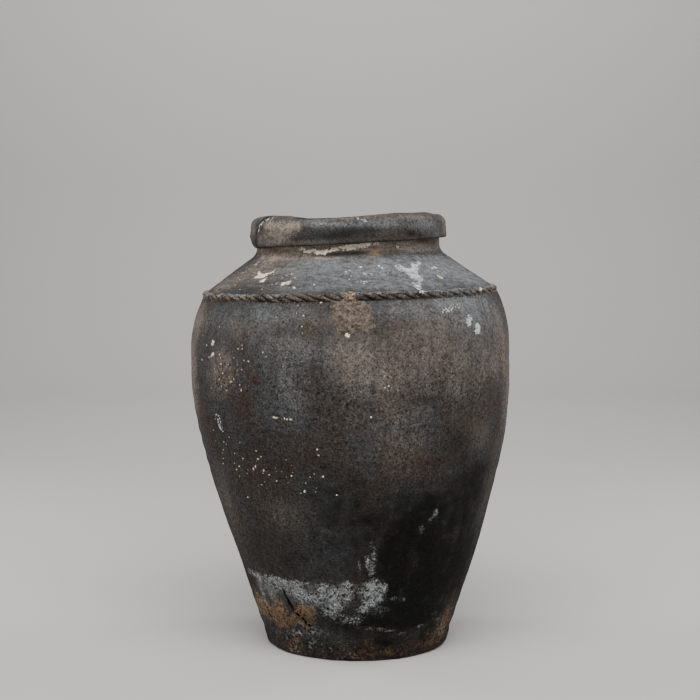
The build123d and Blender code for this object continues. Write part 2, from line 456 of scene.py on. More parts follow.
SOOT = [(36, 205, 110, 80, 1.0), (24, 255, 75, 75, 0.95), (46, 175, 100, 80, 1.0), (16, 175, 45, 70, 0.7),
        (24, 325, 70, 45, 0.7), (45, 330, 90, 60, 0.75), (52, 390, 70, 45, 0.5), (40, 458, 42, 30, 0.4),
        (-6, 320, 110, 60, 0.35), (-42, 445, 80, 50, 0.3), (-56, 500, 50, 50, 0.25),
        (-25, 465, 70, 55, 0.3), (8, 85, 80, 20, 0.75), (30, 95, 80, 35, 0.95), (-8, 95, 50, 20, 0.5),
        (2, 540, 40, 9, 0.4), (25, 542, 80, 16, 0.4), (-5, 398, 60, 50, 0.3), (-11, 824, 40, 6, 0.6),
        (1.2, 826, 36, 6, 0.6), (8, 828, 26, 5, 0.4), (-70, 140, 40, 30, 0.4), (18, 40, 60, 14, 0.5),
        (-12, 784, 70, 22, 0.14), (-12.2, 612, 9, 34, 0.32), (-11, 525, 8, 12, 0.45)]
# Where soot has been washed off
WASHED = [(-48, 130, 60, 40, 0.65), (-28, 128, 28, 26, 0.6), (-66, 110, 30, 50, 0.4), (60, 62, 36, 50, 0.3),
          (42, 22, 70, 14, 0.3)]
# Bare clay, dirt, scattered flecks and lime crust
OCHRE = [(-74, 82, 22, 22, 0.8), (-64, 90, 26, 22, 1.0), (-54, 84, 28, 24, 1.0), (-46, 72, 22, 16, 1.0),
         (-30, 100, 16, 22, 0.9), (-25, 104, 14, 16, 0.9), (-27, 84, 16, 14, 1.0), (-36, 82, 16, 14, 0.9),
         (-44, 100, 14, 20, 0.8), (-68, 110, 16, 18, 0.6), (15.5, 830, 22, 9, 0.55), (14, 820, 18, 7, 0.4),
         (60, 92, 20, 40, 0.5), (58, 55, 30, 30, 0.42), (62, 135, 14, 30, 0.4), (50, 24, 50, 14, 0.24),
         (60, 45, 24, 24, 0.2)]
RUST = [(-41, 546, 60, 26, 0.55), (52, 846, 40, 8, 0.7), (66, 842, 20, 12, 0.5), (-62, 455, 60, 60, 0.4),
        (52, 500, 60, 50, 0.4), (35, 420, 55, 26, 0.4), (-30, 400, 50, 40, 0.3), (24, 420, 45, 40, 0.25),
        (64, 80, 60, 60, 0.6), (4, 488, 25, 15, 0.45), (42, 590, 40, 25, 0.3), (-33.5, 583, 8, 7, 0.9),
        (64, 500, 30, 80, 0.5), (56, 560, 14, 50, 0.4), (-40, 500, 30, 30, 0.5)]
SPECKS = [(-56, 640, 40, 45, 0.8), (-40, 635, 60, 40, 0.7), (-50, 590, 40, 40, 0.9),
          (-54, 480, 30, 45, 0.8), (-48, 420, 50, 60, 0.6), (-24, 400, 60, 35, 0.35),
          (-15, 380, 60, 30, 0.25), (-40, 775, 90, 25, 0.7), (5, 780, 80, 30, 0.5), (20, 560, 90, 60, 0.25),
          (-20, 715, 60, 40, 0.3)]
LIME = [(-67, 165, 12, 8, 0.8), (-62, 167, 12, 10, 1.0), (-57, 160, 14, 10, 0.8), (-50, 165, 16, 11, 1.0),
        (-44, 163, 16, 13, 1.0), (-39, 159, 18, 13, 1.0), (-33, 151, 20, 15, 0.85),
        (-28, 138, 18, 18, 0.55), (-30, 166, 22, 7, 0.55), (-24, 167, 10, 6, 0.4), (-48, 140, 26, 14, 0.3),
        (-17, 157, 18, 14, 0.6), (-13, 150, 24, 18, 0.7), (-9, 142, 24, 18, 0.7), (-5, 155, 16, 16, 0.7),
        (-4, 172, 12, 10, 0.6), (-11, 120, 26, 12, 0.45), (-17, 108, 26, 10, 0.35), (6, 172, 12, 10, 0.8),
        (9, 176, 10, 8, 0.8), (11.5, 165, 10, 14, 0.95), (9, 152, 16, 16, 0.95), (10.5, 143, 10, 10, 0.9),
        (6, 132, 12, 10, 0.9), (3, 119, 8, 7, 0.85), (1.5, 160, 8, 18, 0.4), (6.7, 204, 10, 28, 0.5),
        (7.5, 238, 8, 20, 0.45), (1, 208, 4, 18, 0.6), (4.4, 222, 6, 20, 0.45), (6.4, 258, 5, 8, 0.4),
        (-10, 95, 40, 16, 0.36), (-1.4, 92, 18, 12, 0.5), (1, 113, 14, 10, 0.3), (12, 112, 26, 16, 0.36),
        (18, 138, 14, 6, 0.4), (23, 133, 10, 6, 0.35), (7, 73, 30, 6, 0.45), (17, 67, 24, 5, 0.45),
        (25, 58, 16, 5, 0.4), (37, 67, 24, 6, 0.4), (50, 73, 20, 8, 0.35), (46, 88, 16, 10, 0.3),
        (-24, 62, 40, 14, 0.35), (-40, 50, 40, 16, 0.25), (-54, 486, 9, 18, 0.55), (-52, 590, 14, 18, 0.45),
        (33.5, 313, 6, 8, 1.0), (31.5, 300, 6, 10, 0.5), (28, 284, 8, 14, 0.42), (-47, 400, 16, 22, 0.4),
        (-62, 362, 16, 8, 0.4), (48, 788, 80, 36, 0.36), (-22, 142, 14, 14, 0.5), (-20.5, 130, 14, 12, 0.4),
        (5.5, 151, 10, 12, 0.6), (4.5, 140, 10, 10, 0.6)]
LIME_TOP = 174               # the crust on the left ends at this level, as if at the edge of standing water

# White paint: a forked mark and splashes on the shoulder, with half widths, and two fingertip dabs
PAINT = [[(24.8, 801, 5), (27.6, 794, 10), (30.5, 782, 11)],
         [(38.8, 804, 5.5), (34.8, 797, 8), (30.2, 784, 8)], [(30.5, 782, 11), (31, 775, 9)],
         [(6.6, 787.5, 2.5), (7.8, 785, 3.5), (11.6, 784, 1.6)], [(5.4, 770, 2.4), (7.4, 771.5, 3)],
         [(43.5, 792.5, 2.4), (47, 793.5, 2.4)], [(34.3, 711, 1.4), (37.4, 715, 2)],
         [(38.6, 717.5, 1.4), (41, 719, 1.6)], [(-61.6, 796, 1.4), (-64, 791, 1.4)],
         [(-59.9, 810, 1.4), (-60.8, 806, 1.2)], [(-54.4, 503, 1.6), (-54, 489, 3), (-53, 470, 1.4)]]
FAINT_PAINT = [[(29.6, 772, 11), (28.4, 763, 12), (27, 751, 11)]]
DABS = [[(44.4, 685, 7), (45.4, 694, 7.5)], [(48.4, 668, 7.5), (49.2, 676, 7.5)]]
# Cream splashes: the lime squeezed out under the rim, and drops on shoulder and belly
CREAM = [[(-31, 836, 1.6), (-28.5, 836, 2.8)], [(-26.5, 833.5, 2.8), (-23.5, 832, 3.2)],
         [(-21.5, 832.5, 2.4), (-19.5, 830.5, 3.6)], [(-18.5, 830, 4), (-13.5, 830.5, 4.8)],
         [(-12.5, 832, 4), (-9, 834.5, 3.6)], [(-8, 833.5, 4), (-3, 836, 5)],
         [(-2, 837, 4.4), (2.5, 838.5, 5)], [(3.6, 839.5, 3.8), (7, 841, 4.6)],
         [(8, 841.5, 4.6), (12, 843, 4)], [(13, 844, 3), (17.5, 844.5, 3.6)],
         [(-19, 827, 1.6), (-13, 827, 2)], [(30, 838, 1.2), (32, 836, 1.6)],
         [(-48.5, 791, 2.4), (-45, 787, 4.2)], [(-47, 783, 3.6), (-42.6, 786, 5), (-38.8, 793.5, 2.6)],
         [(-28.2, 769.5, 3.4), (-26.2, 774, 4.6)], [(15.6, 801, 1.6), (16.4, 797, 2)],
         [(42.8, 777.5, 2.6), (43.6, 774, 2.6)], [(-55.6, 656, 2.4), (-55.6, 650, 3.4)],
         [(-58, 622, 1.6), (-54.8, 631, 1.8)]]
# Four short dashes of the same lime in a row
DASHES = [[(-26.9, 510, 1.3), (-25.5, 510.5, 1.6)], [(-24.3, 509.7, 0.9), (-24.1, 509.7, 0.9)],
          [(-22.9, 508.5, 1.2), (-22.1, 508.7, 1.4)], [(-21.1, 508.9, 1.3), (-20.4, 509, 1.2)]]
# Single drops: azimuth, height and half width
DROPS = [(-31.4, 770, 1.7), (-33.1, 769, 1.9), (-24.2, 766, 1.3), (-22.4, 764.5, 2.3), (-14.2, 768.5, 1.7),
         (-40.6, 776, 5.5), (-34, 789, 1.3), (-27, 790, 1.3), (-1.9, 816.5, 1.7), (6.2, 799, 1.5),
         (-0.8, 791, 1.3), (1.1, 793.5, 1.1), (11.8, 778.5, 1.1), (-58.2, 749, 2.1), (-10.1, 735, 1.3),
         (-18.9, 716, 1.5), (-16.6, 688, 1.5), (-16.3, 676, 1.6), (-0.9, 673, 3.5), (-41.1, 643, 1.5),
         (-39.6, 650, 1.2), (-38.2, 621, 1.5), (-36.3, 619, 1.1), (-29.2, 630, 1.1), (-21.7, 628, 1.8),
         (-22.4, 612, 0.9), (-46, 611, 1), (-49.2, 592, 1.3), (-45.8, 588, 0.9), (-44.7, 577, 1),
         (-43.5, 582, 0.8), (-39.9, 561, 1.6), (-40.1, 571, 0.9), (-44.2, 419, 1.4), (-49.8, 407, 1.5),
         (-47.3, 402, 1.1), (-46.9, 396, 1.2), (-48.7, 382, 1.8), (-49.6, 395, 0.8), (-38.4, 407, 1.2),
         (-39.4, 401, 1.3), (-40.2, 392, 1.2), (-35.3, 399, 1.5), (-36.1, 375, 1.3), (-37.2, 368, 0.8),
         (-37.2, 416, 0.9), (-36.5, 423, 0.8), (-36.7, 439, 0.8), (-35.2, 427, 0.8), (-29.5, 407, 0.9),
         (-22.3, 408, 1), (-22.7, 414, 0.8), (-22.4, 401, 0.7), (-25, 389, 1), (-12.1, 437, 1.1),
         (-12.1, 450, 0.8), (-12.1, 506, 0.9), (-11.1, 395, 1.2), (-14.2, 401, 1.1), (-19.8, 359, 0.8),
         (-18.7, 364, 0.8), (-16.7, 356, 0.8), (-35, 363, 0.7), (130, 700, 1.9), (133, 690, 1.3),
         (141, 712, 1.5), (-140, 770, 2.1), (-135, 760, 1.5), (-128, 520, 1.7), (-126, 505, 1.3),
         (165, 560, 1.3)]
# A crack with pits in a row below it, and single pits; their depth
CRACK = [[(-40.6, 153, 1.2), (-38.8, 134, 2.4), (-37.1, 115, 4.4), (-35.6, 105, 3)],
         [(-33.6, 95.5, 3.4), (-33, 93.5, 3.6)], [(-31.2, 87, 3.6), (-30.6, 85, 3.6)],
         [(-29.2, 80, 3), (-28.9, 79, 3.2)], [(-27, 73.5, 3.4), (-26.6, 72.5, 3)],
         [(-30, 96, 1.6), (-29, 93, 1.6)], [(-38.8, 92, 1.2), (-38.6, 84, 1.2)],
         [(-28.6, 585, 1), (-27.6, 587, 2)], [(-0.6, 682, 2), (0.6, 683, 2.8)],
         [(-4, 620, 1), (-3.8, 621, 1)]]
CRACK_DEPTH = 5.0

SOFT_STAINS = {"wash": WASH, "daub": DAUB_AND_LIGHT, "dust": DUST, "soot": SOOT, "ochre": OCHRE, "rust": RUST,
               "lime": LIME, "specks": SPECKS}
# Cover of the inside, which is the same all over
INSIDE = {"wash": 0.15, "dust": 0.3, "soot": 0.55, "rust": 0.2}


def most(*covers):
    """The strongest of several covers at each point."""
    return np.maximum.reduce(covers)


def shaken(wall, skin, azimuth, z, turn, rise, seed):
    """The wall and places shifted by clouds, so that marks come out ragged.

    Turn and rise each say how far, and over how many millimetres a shift changes.
    """
    return wall, azimuth + turn[0] * cloud(skin, turn[1], seed), z + rise[0] * cloud(skin, rise[1], seed + 1)


def bands(skin, azimuth, z):
    """Stains that run round the jar: limed shoulder, a dusty neck that is also painted light against the
    rim's shadow, and rust at the foot and a darker band just under the rim.
    """
    shoulder = smooth(738, 765, z) * (1 - smooth(808, 832, z)) * (0.59 + 0.28 * cloud(skin, 90, 11))
    shoulder *= 0.15 + 0.85 * smooth(38, 92, np.abs(turned_back(azimuth + 97)))
    # The neck's dust is partly painted light: it is laid on thickly to lift the rim's shadow off the neck
    return {"wash": shoulder, "dust": 0.95 * smooth(816, 838, z),
            # The second rust cover darkens a band of the neck just under the rim
            "rust": most(0.75 * (1 - smooth(8, 62, z)), 0.4 * smooth(844, 852, z))}


def worn_back(skin, azimuth, z):
    """Stains of the sides that the front doesn't show: drifting clouds in the same manner."""
    behind = smooth(72, 105, np.abs(azimuth))
    upper = smooth(430, 640, z)
    hearth = drift(skin, 220, 14) + 0.35 * (1 - smooth(120, 420, z))
    ring = np.clip(0.55 - np.abs(z - 155 - 18 * cloud(skin, 120, 15)) / 60, 0, 1)
    return {"wash": behind * 0.8 * smooth(-0.2, 0.7, drift(skin, 170, 12) + 0.5 * upper - 0.4),
            "dust": behind * 0.85 * smooth(-0.4, 0.6, drift(skin, 190, 13) + 0.7 * upper - 0.5),
            "soot": behind * 0.85 * smooth(-0.1, 0.8, hearth) * (1 - smooth(300, 620, z)),
            "lime": behind * smooth(-0.3, 0.5, drift(skin, 140, 16)) * ring,
            "specks": behind * 0.8 * smooth(0.15, 0.75, drift(skin, 120, 10))}


def foot_dirt(skin, azimuth, foot):
    """Crumbs of soot, bare clay, dust and lime on the rough foot, with most lime on the left."""
    limed = 0.12 + 0.36 * np.exp(-((azimuth + 34) / 30) ** 2)
    return {"soot": 0.6 * foot * smooth(0, 0.6, cloud(skin, 9, 73)),
            "ochre": 0.5 * foot * smooth(-0.2, 0.7, drift(skin, 34, 72)),
            "dust": 0.3 * foot * smooth(-0.1, 0.7, drift(skin, 20, 74)),
            "lime": limed * foot * smooth(0, 0.6, cloud(skin, 6.5, 71))}


def splashes(wall, skin, azimuth, z):
    """Paint, fresh lime and cracks, whose edges are sharp but ragged."""
    place = (wall, skin, azimuth, z)
    brushed = shaken(*place, (0.7, 7), (2.6, 7), 27)
    drops = [[(side, height, wide), (side + 0.2, height, wide)] for side, height, wide in DROPS]
    lime = sharp_marks(*shaken(*place, (0.35, 9), (1.6, 8), 17), DASHES + drops, 5)
    faint = 0.55 * sharp_marks(*brushed, FAINT_PAINT, 15)
    dabs = sharp_marks(*shaken(*place, (0.12, 7), (0.7, 6), 17), DABS, 4)
    return {"paint": most(sharp_marks(*brushed, PAINT, 15), faint, dabs), "dabs": dabs,
            "cream": most(sharp_marks(*brushed, CREAM, 7), lime),
            "crack": sharp_marks(*shaken(*place, (0.8, 11), (2.5, 10), 7), CRACK, 6)}


def paint_wall(piece, wall, points, outside):
    """Lays the stains over the outer face, with painted shade low on the body and painted light on the neck;
    the inside is smoked and dusted all over.
    """
    azimuth, _, z = places_of(points)
    skin = points_at(azimuth, wall.radius(z), z)
    foot = 1 - smooth(30, 105, z + 22 * cloud(skin, 60, 19))
    stains = {key: oval_marks(wall, azimuth, z, marks) for key, marks in SOFT_STAINS.items()}
    # Soot that thickens towards the foot is partly painted shade: it darkens the lower body as if the light
    # from above fell off there
    smoke = 0.42 * (1 - smooth(180, 600, z + 70 * cloud(skin, 160, 20)))
    stains["soot"] = most(stains["soot"], smoke + 0.6 * stains["soot"])
    over = smooth(LIME_TOP - 3, LIME_TOP + 3, z + 3 * cloud(skin, 30, 9))
    stains["lime"] *= 1 - (1 - smooth(-26, -20, azimuth)) * over
    for more in (bands(skin, azimuth, z), worn_back(skin, azimuth, z), foot_dirt(skin, azimuth, foot)):
        for key, cover in more.items():
            stains[key] = most(stains[key], cover)
    stains["soot"] *= 1 - oval_marks(wall, azimuth, z, WASHED)
    stains.update(splashes(wall, skin, azimuth, z))
    gritty = (0.25 + 0.4 * (1 - smooth(540, 690, z))) * (1 - smooth(728, 762, z))
    gritty *= 1 - 0.8 * smooth(0.2, 0.7, stains.pop("dabs"))
    stains["rough"] = most(foot, smooth(0.25, 0.5, stains["lime"]), gritty)
    set_covers(piece, {key: np.where(outside, cover, INSIDE.get(key, 0)) for key, cover in stains.items()})
    return stains


def skin_relief(points, hand, stains):
    """Height of the skin over the smooth wall: grit, rough foot, lime crust, squeezed lime and cracks."""
    grain = hand.grain / MM
    relief = grain * cloud(points, 9, 21) + grain * 0.7 * cloud(points, 5, 22)
    relief += smooth(0.5, 1, stains["rough"]) * (1.6 * cloud(points, 24, 23) + 1.3 * cloud(points, 11, 24))
    relief += hand.crust / MM * smooth(0.35, 0.65, stains["lime"] + 0.25 * cloud(points, 8, 25))
    relief += 1.8 * smooth(0.3, 0.8, stains["cream"]) * (0.7 + 0.5 * cloud(points, 7, 26))
    return relief - CRACK_DEPTH * smooth(0.35, 0.85, stains["crack"])


def finish_wall(piece, wall, context):
    """Stains, relief and hand-built shape of one ring or of the slab."""
    points = points_of(piece)
    _, radius, z = places_of(points)
    outside = radius > wall.radius(z) - 0.4 * wall.shape["foot_round"]
    stains = paint_wall(piece, wall, points, outside)
    relief = np.where(outside, skin_relief(points, context.scene.pithos_hand, stains), 0)
    out, up = wall.normal(z)
    points[:, :2] *= (1 + relief * out / np.maximum(radius, 1))[:, None]
    points[:, 2] += relief * up * smooth(4, 20, z)
    set_points(piece, hand_built(points, wall, context.scene.pithos_hand))
    smooth_shade(piece)


def smooth_shade(piece, angle=50):
    bpy.ops.object.select_all(action="DESELECT")
    piece.select_set(True)
    bpy.context.view_layer.objects.active = piece
    bpy.ops.object.shade_smooth_by_angle(angle=radians(angle))


def seat(piece, node, material):
    """Gives a piece its material and its place on the jar's one body, and hides the solid that it stands for.
    """
    piece.data.materials.clear()
    piece.data.materials.append(material)
    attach(piece, "root")
    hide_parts(node)


def wire(tree, node, inputs):
    """Sets inputs by socket name or number: to a value, an output, or a node's first output in use."""
    for key, value in inputs.items():
        if isinstance(value, bpy.types.Node):
            value = next(output for output in value.outputs if output.enabled)
        if isinstance(value, bpy.types.NodeSocket):
            tree.links.new(value, node.inputs[key])
        else:
            node.inputs[key].default_value = value
    return node


def add(tree, kind, inputs=None, **settings):
    """Adds a shader node with its settings and links."""
    node = tree.nodes.new("ShaderNode" + kind)
    for key, value in settings.items():
        setattr(node, key, value)
    return wire(tree, node, inputs or {})


def per(millimetres):
    """Scale of a pattern whose marks are this wide."""
    return 1 / (millimetres * MM)


def rgba(value):
    return (*value, 1)


def blank(name):
    """A new material, with its node tree, its shader and the jar's own coordinates."""
    material = bpy.data.materials.new(name)
    material.use_nodes = True
    tree = material.node_tree
    return material, tree, tree.nodes["Principled BSDF"], add(tree, "TexCoord").outputs["Object"]


# Patterns of the clay: width of a mark in millimetres, detail, roughness, and its way over the wall.
# Real grit and pores are 1 to 2 mm wide, too fine to show from the camera, so grain, salt and pepper are
# drawn 3 to 8 mm wide.
CLAY_PATTERNS = {"broad": (110, 6, 0.62, "all"), "patchy": (34, 6, 0.66, "all"),
                 "streak": (18, 5, 0.6, "down"), "brush": (7, 5, 0.62, "round"), "grain": (8, 5, 0.72, "all"),
                 "salt": (3.4, 2, 0.6, "all"), "pepper": (4.0, 2, 0.6, "all")}
# Ways of a pattern that isn't even: girth in metres that it is laid out on, share of the height that is
# kept, and waver
CLAY_WAYS = {"down": (0.25, 0.12, 0.0), "round": (0.05, 1.0, 1.6)}

# Stains in the order that they lie: how far patches, grain, grit, runs and brush strokes tear them, the cover
# where they begin and where they are full, how much they hide, and their colour
CLAY_STAINS = [("dust", (1.1, 0.45, 0.3, 0.5, 0.6), 0.02, 0.95, 0.92, "dust"),
               ("wash", (1.1, 0.55, 0.4, 0.7, 0.5), 0.02, 0.95, 0.9, "wash"),
               ("daub", (1.1, 0.5, 0.4, 0.4, 0.7), 0.02, 0.95, 0.9, "daub"),
               ("rust", (1.2, 1.1, 0.5, 1.2, 0.6), 0.10, 0.90, 0.85, "rust"),
               ("ochre", (2.0, 1.9, 1.6, 0.6, 0.6), 0.12, 1.0, 0.84, "ochre"),
               ("soot", (1.0, 0.4, 0.3, 0.4, 0.7), 0.02, 0.95, 0.97, "soot"),
               ("lime", (1.4, 1.3, 1.2, 0.0, 0.8), 0.18, 0.90, 0.80, "lime"),
               ("cream", (1.8, 2.4, 2.0, 0.0, 0.6), 0.32, 0.66, 0.95, "cream"),
               ("paint", (2.4, 3.2, 2.8, 1.2, 1.0), 0.38, 0.85, 0.9, "paint"),
               ("crack", (0.0, 0.3, 0.3, 0.0, 0.0), 0.40, 0.62, 1.0, "soot")]

# Light and dark in every stain: pattern, its values at dark and at light, and the two tones
CLAY_TONES = [("streak", 0.32, 0.68, 0.90, 1.10), ("brush", 0.32, 0.68, 0.79, 1.21),
              ("grain", 0.30, 0.70, 0.52, 1.48), ("salt", 0.52, 0.70, 1.0, 2.4),
              ("pepper", 0.30, 0.48, 0.1, 1.0)]
# Most values of a noise lie between these
NOISE_LOW, NOISE_HIGH = 0.3, 0.7
# Flecks of lime: turn of their scatter in radians, and their spacing in millimetres
FLECK_TURN = (0.5, 0.8, 0.3)
FLECK_SPACING = 7.5


def clay_patterns(tree, place):
    """The noises of the clay, even or laid out down or round the wall."""
    around = add(tree, "VectorMath", {0: place, 1: (1, 1, 0)}, operation="MULTIPLY")
    around = add(tree, "VectorMath", {0: around}, operation="NORMALIZE")
    drawn = {"all": (place, 0.0)}
    for way, (girth, rise, waver) in CLAY_WAYS.items():
        level = add(tree, "VectorMath", {0: place, 1: (0, 0, rise)}, operation="MULTIPLY")
        laid = add(tree, "VectorMath", {0: around, 1: (girth, girth, 0), 2: level}, operation="MULTIPLY_ADD")
        drawn[way] = (laid, waver)
    return {key: add(tree, "TexNoise", {"Vector": drawn[way][0], "Scale": per(size), "Detail": detail,
                                        "Roughness": roughness, "Distortion": drawn[way][1]})
            for key, (size, detail, roughness, way) in CLAY_PATTERNS.items()}


def flecks_of_lime(tree, place):
    """Round flecks of lime, scattered where the specks' cover makes them likely."""
    turned = add(tree, "Mapping", {"Vector": place, "Rotation": FLECK_TURN})
    cells = add(tree, "TexVoronoi", {"Vector": turned, "Scale": per(FLECK_SPACING)})
    chance = add(tree, "SeparateColor", {"Color": cells.outputs["Color"]})
    specks = add(tree, "Attribute", attribute_name="specks").outputs["Fac"]
    lucky = add(tree, "Math", {0: specks, 1: 0.8, 2: chance.outputs["Red"]}, operation="MULTIPLY_ADD")
    size = add(tree, "MapRange", {"Value": chance.outputs["Green"], "To Min": 0.09, "To Max": 0.25})
    size = add(tree, "MapRange", {"Value": lucky, "From Min": 0.99, "From Max": 1.05, "To Max": size})
    inside = add(tree, "Math", {0: size, 1: cells.outputs["Distance"]}, operation="SUBTRACT")
    return add(tree, "MapRange", {"Value": inside, "From Min": 0.0, "From Max": 0.05})


def fired_clay(colours, name="smoked_earthenware", brown=0.0):
    """Low-fired earthenware, smoothed by hand with a gritty slip, then smoked, limed and rubbed with dust.

    It is matt and open-pored: the eye sees coarse grit, dark pits and cloudy stains, and hardly any gloss.
    """
    if name in bpy.data.materials:
        return bpy.data.materials[name]
    material, tree, shader, place = blank(name)
    pattern = clay_patterns(tree, place)
    rough = add(tree, "Attribute", attribute_name="rough").outputs["Fac"]
    depth = add(tree, "MapRange", {"Value": rough, "To Min": 0.32, "To Max": 1.0})
    calm = add(tree, "MapRange", {"Value": rough, "From Max": 0.25, "To Min": 1.0, "To Max": 0.0})
    felt = {key: calm if key == "brush" else depth for key in pattern}
    body = add(tree, "MapRange", {"Value": pattern["broad"], "From Min": 0.40 - brown,
                                  "From Max": 0.60 - brown}, interpolation_type="SMOOTHSTEP")
    skin = add(tree, "Mix", {0: body, 6: rgba(colours.clay_grey), 7: rgba(colours.clay_brown)},
               data_type="RGBA")
    torn = {}
    for key in ("patchy", "grain", "pepper", "streak", "brush"):
        centred = add(tree, "MapRange", {"Value": pattern[key], "From Min": NOISE_LOW, "From Max": NOISE_HIGH,
                                         "To Min": -0.5, "To Max": 0.5})
        torn[key] = add(tree, "Math", {0: centred, 1: felt[key]}, operation="MULTIPLY")
    share = {}
    for stain, tears, begin, full, hides, tint in CLAY_STAINS:
        edge = 1.0
        for key, amount in zip(torn, tears):
            edge = add(tree, "Math", {0: torn[key], 1: amount, 2: edge}, operation="MULTIPLY_ADD")
        cover = add(tree, "Attribute", attribute_name=stain).outputs["Fac"]
        cover = add(tree, "Math", {0: cover, 1: edge}, operation="MULTIPLY")
        share[stain] = add(tree, "MapRange", {"Value": cover, "From Min": begin, "From Max": full,
                                              "To Max": hides}, interpolation_type="SMOOTHSTEP")
        skin = add(tree, "Mix", {0: share[stain], 6: skin, 7: rgba(getattr(colours, tint))}, data_type="RGBA")
    flecks = flecks_of_lime(tree, place)
    skin = add(tree, "Mix", {0: flecks, 6: skin, 7: rgba(colours.cream)}, data_type="RGBA")
    for key, low, high, dark, light in CLAY_TONES:
        tone = add(tree, "MapRange", {"Value": pattern[key], "From Min": low, "From Max": high,
                                      "To Min": dark, "To Max": light}, interpolation_type="SMOOTHSTEP")
        skin = add(tree, "Mix", {0: felt[key], 6: skin, 7: tone}, data_type="RGBA", blend_type="MULTIPLY")
    height = add(tree, "Math", {0: pattern["pepper"], 1: 0.6, 2: pattern["grain"]}, operation="MULTIPLY_ADD")
    height = add(tree, "Math", {0: share["lime"], 1: 0.25, 2: height}, operation="MULTIPLY_ADD")
    bump = add(tree, "Bump", {"Height": height, "Strength": 0.7, "Distance": 2.2 * MM})
    gloss = add(tree, "MapRange", {"Value": pattern["grain"], "From Min": NOISE_LOW, "From Max": NOISE_HIGH,
                                   "To Min": 0.98, "To Max": 0.84})
    wire(tree, shader, {"Base Color": skin, "Roughness": gloss, "Normal": bump, "IOR": 1.5,
                        "Specular IOR Level": 0.15})
    return material


def dried_mortar(colours):
    """Sandy lime mortar, splashed on and dried: beige, crumbly, with dark grit and no gloss.

    Its sand is about 1 mm, too fine to show from where the jar is seen, and is drawn 4 mm wide.
    """
    material, tree, shader, place = blank("dried_mortar")
    lump = add(tree, "TexNoise", {"Vector": place, "Scale": per(12), "Detail": 6, "Roughness": 0.7})
    sand = add(tree, "TexNoise", {"Vector": place, "Scale": per(4), "Detail": 3, "Roughness": 0.8})
    share = add(tree, "MapRange", {"Value": lump, "From Min": 0.38, "From Max": 0.62})
    tone = add(tree, "Mix", {0: share, 6: rgba(colours.sand), 7: rgba(colours.mortar)}, data_type="RGBA")
    speck = add(tree, "MapRange", {"Value": sand, "From Min": 0.36, "From Max": 0.64, "To Min": 0.36,
                                   "To Max": 1.45})
    tone = add(tree, "Mix", {0: 1.0, 6: tone, 7: speck}, data_type="RGBA", blend_type="MULTIPLY")
    bump = add(tree, "Bump", {"Height": sand, "Strength": 0.8, "Distance": 1.5 * MM})
    wire(tree, shader, {"Base Color": tone, "Normal": bump, "Roughness": 0.95, "Specular IOR Level": 0.25})
    return material


class PITHOS_OT_base_slab(bpy.types.Operator):
    """Model the round slab with its worn foot"""
    bl_idname = "pithos.base_slab"
    bl_label = "Base slab"

    def execute(self, context):
        wall = Wall(context.scene.pithos_shape)
        base, foot_round = wall.shape["base_radius"], wall.shape["foot_round"]
        top = (wall.radius(wall.slab_top), wall.slab_top)
        lean = atan2(top[0] - base, wall.slab_top)
        centre = (base - foot_round * (1 - sin(lean)) / cos(lean), foot_round)
        section = [(0, 0), *along_line((0, 0), (centre[0], 0), 14)]
        section += along_arc(centre, foot_round, -pi / 2, -lean, 6)[1:]
        section += along_line(section[-1], top, 9)
        section += along_line(top, (0, wall.slab_top), 14)
        piece = lathe("base_slab_fired", section)
        finish_wall(piece, wall, context)
        seat(piece, "base_slab", fired_clay(context.scene.pithos_colours))
        return {"FINISHED"}


class PITHOS_OT_wall_rings(bpy.types.Operator):
    """Model the rings of the wall, the shoulder and the neck, each luted to the one below it"""
    bl_idname = "pithos.wall_rings"
    bl_label = "Wall rings"

    def execute(self, context):
        wall = Wall(context.scene.pithos_shape)
        names = ["foot_ring", "lower_wall_ring", "middle_wall_ring", "belly_ring", "upper_belly_ring",
                 "shoulder_ring", "neck_ring"]
        scarfed = names[1:5]
        seams = [height_of(name)[0] for name in names] + [wall.neck_top]
        rises = [wall.shape["scarf"] if name in scarfed else 0 for name in names] + [0]
        for name, low, high, low_rise, high_rise in zip(names, seams, seams[1:], rises, rises[1:]):
            section = wall.face(low, high)
            inner = wall.inside(high + high_rise, low + low_rise)
            section += along_line(section[-1], inner[0], 4) + inner[1:]
            section += along_line(inner[-1], section[0], 4)
            piece = lathe(name + "_fired", section)
            finish_wall(piece, wall, context)
            seat(piece, name, fired_clay(context.scene.pithos_colours))
        return {"FINISHED"}


# Rim strap: heights and azimuths of the lap between its two ends, half width and depth of its crack, the
# azimuths where the free end lifts, how far it lifts and sinks in, the rise and dip of the top by azimuth,
# and stains on the face, among them white paint and painted highlights beside the lap and along the top
LAP = [(836, -62), (852, -66.5), (866, -66), (884, -63), (894, -59), (900, -53)]
LAP_WIDTH = 2.6
LAP_DEPTH = 9.0
FREE_END_SPAN = (-170, -100, -92, -62)
FREE_END_RISE = 14.0
FREE_END_SINK = 4.0
RIM_DIP = [(-180, 0), (-100, 0), (-75, 2.5), (-58, 4.5), (-42, 2), (-28, -3), (-20, -4.2), (-9, -3.2),
           (1, -1.2), (12, 1.2), (22, 2.6), (33, 3.5), (43, 3.8), (57, 3.4), (68, 0.5), (100, 0), (180, 0)]
